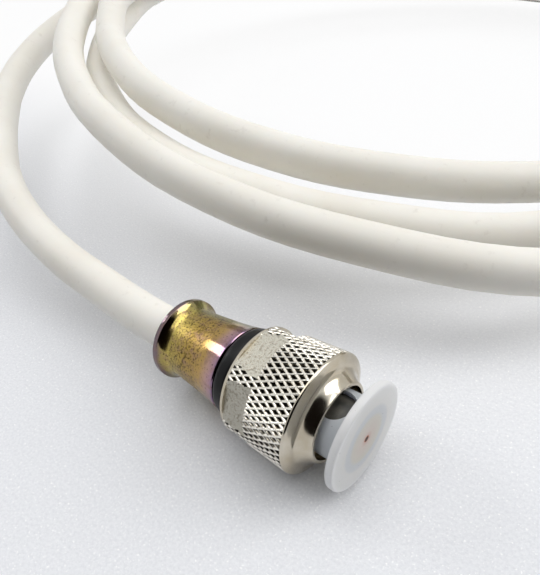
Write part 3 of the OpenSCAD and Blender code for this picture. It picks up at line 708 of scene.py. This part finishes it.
class RELEASE_OT_ferrule(bpy.types.Operator):
    """Turns the head's ferrule"""

    bl_idname = "release.ferrule"
    bl_label = "Ferrule"

    def execute(self, context):
        piece = turned("ferrule_skin", ferrule_profile(), HEAD, steps=160)
        dress(piece, zinc_chromate("yellow_chromate", HEAD_ORIGIN, "X", FERRULE_FRONT * MM,
                                   FERRULE_REAR * MM))
        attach(piece, "head")
        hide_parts("ferrule")
        return {"FINISHED"}


class RELEASE_OT_button(bpy.types.Operator):
    """Moulds the press button: disc, stem and the round window in the stem"""

    bl_idname = "release.button"
    bl_label = "Press button"

    def execute(self, context):
        front, stem_rear = 5.28, -1.78
        hole, stem_bore, stem_r = 0.42, 3.1, 3.7
        piece = turned("press_button", rounded([
            (front, hole, 0.03), (DISC_BACK, hole, 0.03), (DISC_BACK, stem_bore, 0.1),
            (stem_rear, stem_bore), (stem_rear, stem_r, 0.05), (DISC_BACK, stem_r, 0.22),
            (DISC_BACK, DISC_R, 0.2), (front, DISC_R, 0.22)], 5), HEAD, steps=160)
        window = HEAD_ORIGIN + Vector((1.95, 0, (stem_bore + stem_r) / 2)) * MM
        window_r = 1.9
        bpy.ops.object.select_all(action="DESELECT")
        bpy.ops.mesh.primitive_cylinder_add(vertices=96, radius=window_r * MM, depth=3 * MM, location=window)
        cutter = bpy.context.object
        cut = piece.modifiers.new("window", "BOOLEAN")
        cut.operation = "DIFFERENCE"
        cut.object = cutter
        cut.solver = "EXACT"
        bpy.ops.object.select_all(action="DESELECT")
        piece.select_set(True)
        bpy.context.view_layer.objects.active = piece
        bpy.ops.object.modifier_apply(modifier=cut.name)
        bpy.data.objects.remove(cutter)
        bpy.ops.object.shade_smooth_by_angle(angle=math.radians(30))
        dress(piece, milky_polyethylene())
        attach(piece, "plunger")
        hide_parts("button_cap")
        return {"FINISHED"}


# ---- Camera end ----

GRIP_REAR, GRIP_FRONT = 9.0, 15.2
GRIP_R, GROOVE_R = 4.7, 4.4
GRIP_STEPS = 240
TOOTH = (0.0, 0.14, 0.24, 0.14)  # how far each point of a tooth's profile is cut in
THREAD_PITCH = 0.5


class RELEASE_OT_camera_end(bpy.types.Operator):
    """Turns the camera end: ferrule, grooved grip and threaded taper nipple"""

    bl_idname = "release.camera_end"
    bl_label = "Camera end"

    def execute(self, context):
        bore, bore_rear = 3.43, 4.5
        ferrule = turned("camera_ferrule", rounded([
            (0, FERRULE_HOLE), (0, 4.3, 0.12), (0.6, 4.3, 0.05), (1.3, 3.8, 0.4), (4.6, 3.8, 0.4),
            (8, 4.28), (8.88, 4.3, 0.04), (TIP_FERRULE_END, 4.18), (TIP_FERRULE_END, bore),
            (bore_rear, bore), (bore_rear, FERRULE_HOLE)], 5), TIP, steps=128)
        dress(ferrule, zinc_chromate("yellow_chromate_small", TIP_ORIGIN, "Y", 0.0, -TIP_FERRULE_END * MM))
        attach(ferrule, "head")
        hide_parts("tip_ferrule")

        grip = self.grip()
        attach(grip, "head")
        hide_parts("tip_body")

        nipple = self.nipple()
        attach(nipple, "head")
        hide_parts("tip_nipple")
        return {"FINISHED"}

    def grip(self):
        """A turned grip with three grooves, whose lands are cut into fine straight teeth."""
        profile = [(4.52, PIN_HOLE), (4.52, 3.4), (GRIP_REAR, 3.4), (GRIP_REAR + 0.02, GROOVE_R),
                   (GRIP_REAR + 0.32, GRIP_R)]
        for k in (1, 2, 3):
            middle = GRIP_REAR + 0.3 + 1.4 * k
            profile += [(middle - 0.25, GRIP_R), (middle - 0.2, GROOVE_R), (middle + 0.2, GROOVE_R),
                        (middle + 0.25, GRIP_R)]
        profile += [(GRIP_FRONT - 0.3, GRIP_R), (GRIP_FRONT, GROOVE_R), (GRIP_FRONT, 2.62), (14.2, 2.62),
                    (14.2, 1.9), (11.0, 1.9), (11.0, PIN_HOLE)]
        piece = turned("camera_grip", profile, TIP, steps=GRIP_STEPS)
        shape = bmesh.new()
        shape.from_mesh(piece.data)
        for vertex in shape.verts:
            place = (vertex.co - TIP_ORIGIN) / MM
            r = math.hypot(place.x, place.z)
            if r < (GRIP_R + GROOVE_R) / 2:
                continue
            step = round(math.atan2(place.z, place.x) / (2 * math.pi) * GRIP_STEPS)
            new_r = r - TOOTH[step % len(TOOTH)]
            vertex.co.x = TIP_ORIGIN.x + place.x * MM * new_r / r
            vertex.co.z = TIP_ORIGIN.z + place.z * MM * new_r / r
        shape.to_mesh(piece.data)
        shape.free()
        bpy.ops.object.shade_smooth_by_angle(angle=math.radians(28))
        return dress(piece, nickel_turned("nickel_plated_grip", TIP_ORIGIN, "Y"))

    def nipple(self):
        """A taper nipple with a fine thread, drawn as close rings along the taper."""
        profile = [(14.22, PIN_HOLE), (14.22, 2.6), (GRIP_FRONT, 2.6), (GRIP_FRONT, 1.72)]
        for k in range(10):
            u = GRIP_FRONT + 0.12 + k * THREAD_PITCH
            crest = 1.73 - 0.3 * (u - GRIP_FRONT) / 5.5
            root = crest - 0.18
            profile += [(u, root), (u + 0.2, crest), (u + 0.28, crest), (u + 0.48, root)]
        profile += [(20.6, 1.25), (20.7, 1.15), (20.7, PIN_HOLE)]
        piece = turned("taper_nipple", profile, TIP, steps=96)
        return dress(piece, nickel_turned("nickel_plated_nipple", TIP_ORIGIN, "Y"))


# ---- Pieces that stay as their solids, and the return spring ----


class RELEASE_OT_inner_pieces(bpy.types.Operator):
    bl_idname = "release.inner_pieces"
    bl_label = "Inner pieces"

    def execute(self, context):
        tone = context.scene.release_colours
        steel = drawn_metal("drawn_steel", tone.steel, "#8d8e8d", 0.2 * MM, 0.25, 0.45)
        spring = drawn_metal("spring_wire", "#a3a4a4", "#6f7071", 0.1 * MM, 0.2, 0.4)
        brass = drawn_metal("machined_brass", tone.brass, "#94753a", 0.2 * MM, 0.22, 0.45)
        copper = drawn_metal("drawn_copper", tone.copper, "#7d4429", 0.1 * MM, 0.25, 0.45)
        barrel = drawn_metal("bored_nickel_silver", "#b5b0a4", "#87837a", 0.2 * MM, 0.3, 0.5)
        cable = bpy.data.objects["cable"]
        vinyl = cable.data.materials[0]
        finishes = {
            "barrel": barrel, "guide_bush": barrel, "retaining_ring": steel, "wire_guide": brass,
            "sheath_post": steel, "sheath_end": vinyl, "plunger_core": dark_moulding(),
            "wire_crimp": copper, "inner_wire": cut_wire(), "tip_sheath_end": vinyl,
            "tip_pin": steel, "pin_stop": steel, "tip_wire": copper,
        }
        for name, material in finishes.items():
            dress(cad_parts[name], material)
        self.spring(spring)
        round(route_length(cable_route()), 3)
        return {"FINISHED"}

    def spring(self, material):
        """A copy of the return spring, held at its full length; the real spring shortens from its front end
        as the plunger goes in.
        """
        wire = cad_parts["return_spring"].data.copy()
        piece = bpy.data.objects.new("return_spring_wire", wire)
        bpy.context.scene.collection.objects.link(piece)
        bpy.ops.object.select_all(action="DESELECT")
        bpy.context.view_layer.objects.active = piece
        bpy.ops.object.mode_set(mode="EDIT")
        finish_mesh()
        dress(piece, material)
        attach(piece, "head")
        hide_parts("return_spring")
        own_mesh(piece)


# ---- Camera, floor and lights ----

# The view's place, the ways its right and its top point, its lens in millimetres and its shift
VIEW_PLACE = (0.02812, -0.0242, 0.0510)
VIEW_RIGHT = Vector((0.7668, 0.6279, -0.1335))
VIEW_UP = Vector((-0.4026, 0.6323, 0.6619))
VIEW_LENS = 34.667
VIEW_SHIFT = 0.1343
LAMP_TARGET = Vector((-0.01, 0.03, 0.0))
DARK_SIDE = (0.62, -0.66, 0.42)  # the way from the object to the room's dark side


class RELEASE_OT_camera(bpy.types.Operator):
    """Sets the camera at the viewing angle, close to the head"""

    bl_idname = "release.camera"
    bl_label = "Camera"

    def execute(self, context):
        lens = bpy.data.cameras.new("view")
        lens.sensor_fit = "HORIZONTAL"
        lens.sensor_width = 36
        lens.lens = VIEW_LENS
        lens.shift_y = VIEW_SHIFT
        lens.clip_start = 0.002
        camera = bpy.data.objects.new("view", lens)
        back = VIEW_RIGHT.cross(VIEW_UP).normalized()
        up = back.cross(VIEW_RIGHT).normalized()
        turn = Matrix((VIEW_RIGHT.normalized(), up, back)).transposed().to_4x4()
        camera.matrix_world = Matrix.Translation(VIEW_PLACE) @ turn
        context.scene.collection.objects.link(camera)
        context.scene.camera = camera
        return {"FINISHED"}


def lamp(name, place, size, power):
    """A soft square lamp that faces the object."""
    light = bpy.data.lights.new(name, "AREA")
    light.shape = "SQUARE"
    light.size = size
    light.energy = power
    holder = bpy.data.objects.new(name, light)
    direction = LAMP_TARGET - Vector(place)
    holder.matrix_world = Matrix.Translation(place) @ direction.to_track_quat("-Z", "Y").to_matrix().to_4x4()
    bpy.context.scene.collection.objects.link(holder)


class RELEASE_OT_stage(bpy.types.Operator):
    """Lays the floor, hangs the lamps and lights the room"""

    bl_idname = "release.stage"
    bl_label = "Floor and lights"

    def execute(self, context):
        bpy.ops.object.select_all(action="DESELECT")
        bpy.ops.mesh.primitive_grid_add(x_subdivisions=4, y_subdivisions=4, size=4, location=(0, 0, 0))
        floor = bpy.context.object
        floor.name = "floor"
        dress(floor, self.table_top())
        lamp("sky_lamp", (0.0, 0.10, 0.85), size=0.9, power=4.3)
        lamp("window_lamp", (0.47, 0.44, 0.42), size=0.42, power=2.3)
        lamp("side_lamp", (-0.62, -0.08, 0.45), size=0.22, power=0.7)
        self.room(context.scene)
        context.scene.view_settings.view_transform = "Standard"
        return {"FINISHED"}

    def room(self, scene):
        """A pale room with one dark side, which gives bright metal something to reflect."""
        scene.world = bpy.data.worlds.new("room")
        scene.world.use_nodes = True
        tree = scene.world.node_tree
        tree.nodes.clear()
        path = add(tree, "LightPath").outputs
        way = add(tree, "TexCoord").outputs["Generated"]
        side = add(tree, "VectorMath", way, DARK_SIDE, operation="DOT_PRODUCT")
        tint = add(tree, "Mix", add(tree, "MapRange", side, 0.52, 0.68), linear("#eef0f2"),
                   linear("#15110f"), data_type="RGBA")
        strength = add(tree, "MapRange", path["Is Glossy Ray"], 0, 1, 0.55, 0.95)
        room = add(tree, "Background", tint, strength)
        backdrop = add(tree, "Background", linear(colours().floor), 1.0)
        add(tree, "OutputWorld", add(tree, "MixShader", path["Is Camera Ray"], room, backdrop))

    def table_top(self):
        """Matt melamine with a fine grain and painted glints. Behind the head it is lit to a plain white,
        which only the eye, metal and clear plastic see."""
        material, tree, shader, place = surface("matt_melamine", Roughness=0.6, Specular_IOR_Level=0.25)
        fine = add(tree, "TexNoise", Vector=place, Scale=1 / (0.35 * MM), Detail=4.0, Roughness=0.7)
        painted_glints = add(tree, "TexNoise", Vector=place, Scale=1 / (0.3 * MM), Detail=3.0)
        tint = add(tree, "Mix", add(tree, "MapRange", fine, 0.4, 0.7), linear(colours().floor),
                   linear("#dfe0e4"), data_type="RGBA")
        # Painted glints: fine white specks laid into the colour
        tint = add(tree, "Mix", add(tree, "MapRange", painted_glints, 0.62, 0.7), tint, linear("#ffffff"),
                   data_type="RGBA")
        feed(tree, shader, Base_Color=tint, Normal=add(tree, "Bump", Height=fine, Distance=0.045 * MM))
        # The white sets in behind the head, and on all sides far from the object
        back = add(tree, "SeparateXYZ", place).outputs["Y"]
        behind = add(tree, "MapRange", back, 5 * MM, 70 * MM, 0, 0.9, interpolation_type="SMOOTHSTEP")
        far = add(tree, "VectorMath", place, operation="LENGTH")
        share = add(tree, "Math", behind, add(tree, "MapRange", far, 0.2, 0.5, 0, 0.9), operation="MAXIMUM")
        path = add(tree, "LightPath").outputs
        rays = add(tree, "Math", path["Is Camera Ray"], path["Is Glossy Ray"], operation="MAXIMUM")
        rays = add(tree, "Math", rays, path["Is Transmission Ray"], operation="MAXIMUM")
        share = add(tree, "Math", share, rays, operation="MULTIPLY")
        white = add(tree, "Emission", linear("#ffffff"), 1.0)
        both = add(tree, "MixShader", share, shader, white)
        feed(tree, tree.nodes["Material Output"], Surface=both)
        return material


# ---- Panel and main ----

GROUPS = (
    ("release_cable", ReleaseCableSizes),
    ("release_collar", ReleaseCollarSizes),
    ("release_colours", ReleaseColours),
)
STEPS = (
    RELEASE_OT_camera, RELEASE_OT_cable, RELEASE_OT_collar, RELEASE_OT_seal, RELEASE_OT_ferrule,
    RELEASE_OT_button, RELEASE_OT_camera_end, RELEASE_OT_inner_pieces, RELEASE_OT_stage,
)


class RELEASE_PT_panel(bpy.types.Panel):
    """Lists the sizes, the colours and the steps that build the release"""

    bl_idname = "RELEASE_PT_panel"
    bl_label = "Cable Shutter Release"
    bl_space_type = "VIEW_3D"
    bl_region_type = "UI"
    bl_category = "Release"

    def draw(self, context):
        for group, _ in GROUPS:
            box = self.layout.box()
            values = getattr(context.scene, group)
            for name in values.__annotations__:
                box.prop(values, name)
        for step in STEPS:
            self.layout.operator(step.bl_idname)


def register():
    for name, group in GROUPS:
        bpy.utils.register_class(group)
        setattr(bpy.types.Scene, name, PointerProperty(type=group))
    for step in STEPS + (RELEASE_PT_panel,):
        bpy.utils.register_class(step)


def unregister():
    for step in reversed(STEPS + (RELEASE_PT_panel,)):
        bpy.utils.unregister_class(step)
    for name, group in reversed(GROUPS):
        delattr(bpy.types.Scene, name)
        bpy.utils.unregister_class(group)


def main():
    register()
    bpy.ops.release.camera()
    bpy.ops.release.cable()
    bpy.ops.release.collar()
    bpy.ops.release.seal()
    bpy.ops.release.ferrule()
    bpy.ops.release.button()
    bpy.ops.release.camera_end()
    bpy.ops.release.inner_pieces()
    bpy.ops.release.stage()


if __name__ == "__main__":
    main()
